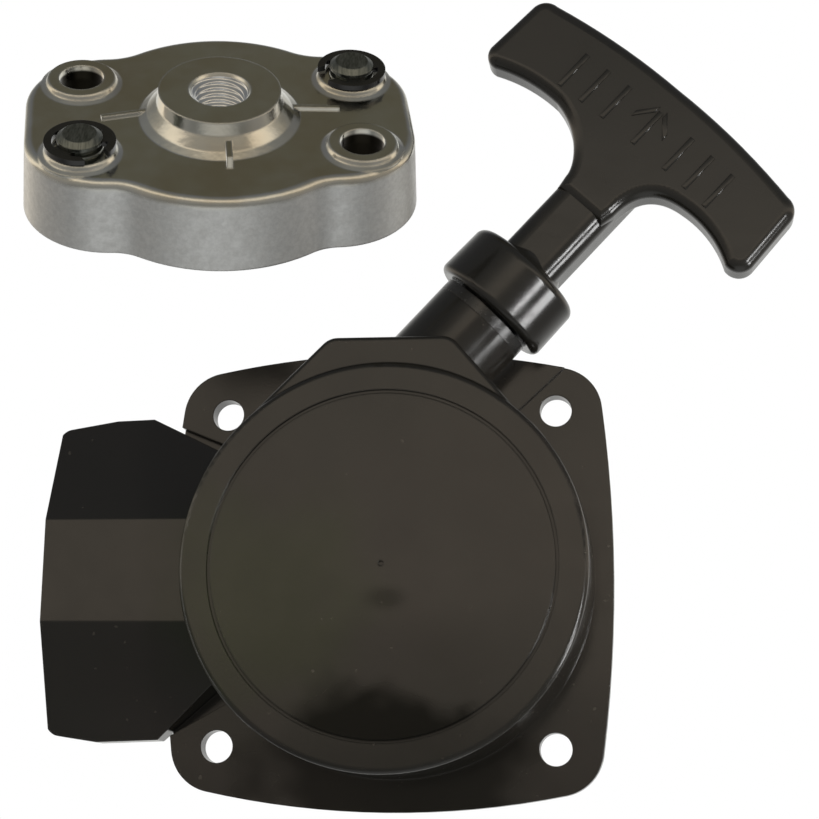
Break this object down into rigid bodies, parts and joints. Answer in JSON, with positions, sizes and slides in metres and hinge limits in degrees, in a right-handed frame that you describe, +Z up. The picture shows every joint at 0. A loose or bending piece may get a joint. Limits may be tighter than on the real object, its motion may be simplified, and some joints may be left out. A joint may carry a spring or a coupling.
{
  "type": "recoil starter",
  "caption": "Pull-cord recoil starter for a small engine: moulded cover with duct wing, T-handle on a rope spout, sprung reel inside and a cast pawl hub beside it.",
  "frame": {"origin": "middle of the four bolt holes on the plane that bolts to the engine", "axes": "+Y into the engine along the crank axis, the drum face looks along -Y, +Z up, +X to the handle's side"},
  "size_m": [0.1465, 0.0804, 0.1593],
  "materials": {
    "housing_plastic": "satin",
    "guide_plastic": "satin",
    "handle_plastic": "gloss",
    "reel_plastic": "satin",
    "rope": "matte",
    "spring_steel": "satin",
    "zinc_steel": "satin",
    "bronze": "satin",
    "cast_aluminium": "satin",
    "clip_steel": "satin",
    "pin_steel": "satin",
    "pawl_steel": "satin"
  },
  "bodies": {
    "cover": {"housing": "housing_plastic", "rope_guide": "guide_plastic", "recoil_spring": "spring_steel", "spring_plate": "zinc_steel", "retaining_washer": "zinc_steel", "reel_screw": "zinc_steel", "rope_lead": "rope"},
    "reel_body": {"reel": "reel_plastic", "reel_bushing": "bronze", "rope_coil": "rope", "rope_reel_knot": "rope"},
    "handle": {"handle_grip": "handle_plastic", "rope_end": "rope", "knot_washer": "zinc_steel", "handle_knot": "rope"},
    "hub": {"pawl_plate": "cast_aluminium", "pawl_spring_left": "spring_steel", "pawl_spring_right": "spring_steel"},
    "left_pawl": {"pawl_left": "pawl_steel", "pawl_pin_left": "pin_steel", "pawl_clip_left": "clip_steel"},
    "right_pawl": {"pawl_right": "pawl_steel", "pawl_pin_right": "pin_steel", "pawl_clip_right": "clip_steel"}
  },
  "joints": [
    {"name": "handle_pull", "type": "slide", "parent": "cover", "child": "handle", "axis": [0.682, 0, 0.7314], "range_m": [0, 0.67858], "stiffness_N_per_m": 15, "springref_m": -0.6, "deforming": ["rope_lead"]},
    {"name": "reel_spin", "type": "hinge", "parent": "cover", "child": "reel_body", "pos_m": [0.0016, 0, 0], "axis": [0, -1, 0], "range_deg": [-1801, 0], "deforming": ["recoil_spring"]},
    {"name": "hub_spin", "type": "hinge", "parent": "cover", "child": "hub", "pos_m": [-0.0232, -0.061, 0.0751], "axis": [0.1525, -0.7961, 0.5856], "continuous": true},
    {"name": "pawl_left_pivot", "type": "hinge", "parent": "hub", "child": "left_pawl", "pos_m": [-0.04462, -0.07297, 0.0644], "axis": [0.1525, -0.7961, 0.5856], "range_deg": [0, 20], "stiffness_Nm_per_rad": 0.02, "springref_deg": -20.05},
    {"name": "pawl_right_pivot", "type": "hinge", "parent": "hub", "child": "right_pawl", "pos_m": [-0.00178, -0.04903, 0.0858], "axis": [0.1525, -0.7961, 0.5856], "range_deg": [0, 20], "stiffness_Nm_per_rad": 0.02, "springref_deg": -20.05}
  ],
  "couplings": [
    {"joint": "reel_spin", "follows": "handle_pull", "rad_per_m": -46.296}
  ]
}
